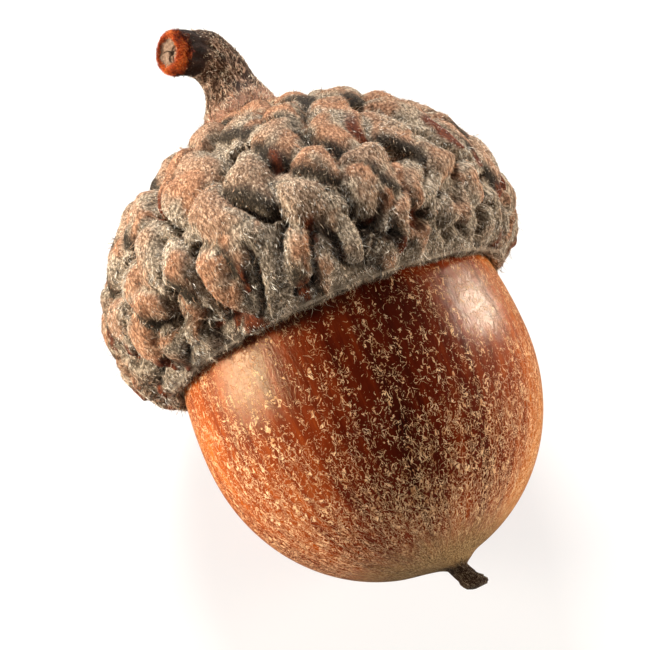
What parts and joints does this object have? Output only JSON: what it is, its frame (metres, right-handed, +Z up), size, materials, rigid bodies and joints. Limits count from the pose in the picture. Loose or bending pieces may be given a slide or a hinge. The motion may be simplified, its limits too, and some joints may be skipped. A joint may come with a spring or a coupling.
{
  "type": "acorn",
  "caption": "Ripe oak nut with a short dark beak, seated in a deep cup of woolly scales with a bent cut stem, lying on its side.",
  "frame": {"origin": "middle of the base on the surface that the acorn lies on", "axes": "+X along the acorn from its stem to its beak, +Y across it, +Z up"},
  "size_m": [0.0346, 0.025, 0.0246],
  "materials": {
    "nut_shell": "glossy brown skin with pale scurf",
    "cup_scales": "woolly grey and tan hair over brown scales",
    "stem_bark": "rough dark bark under fine pale hair"
  },
  "bodies": {
    "root": {"nut": "nut_shell", "cup": "cup_scales", "stem": "stem_bark"}
  },
  "joints": []
}
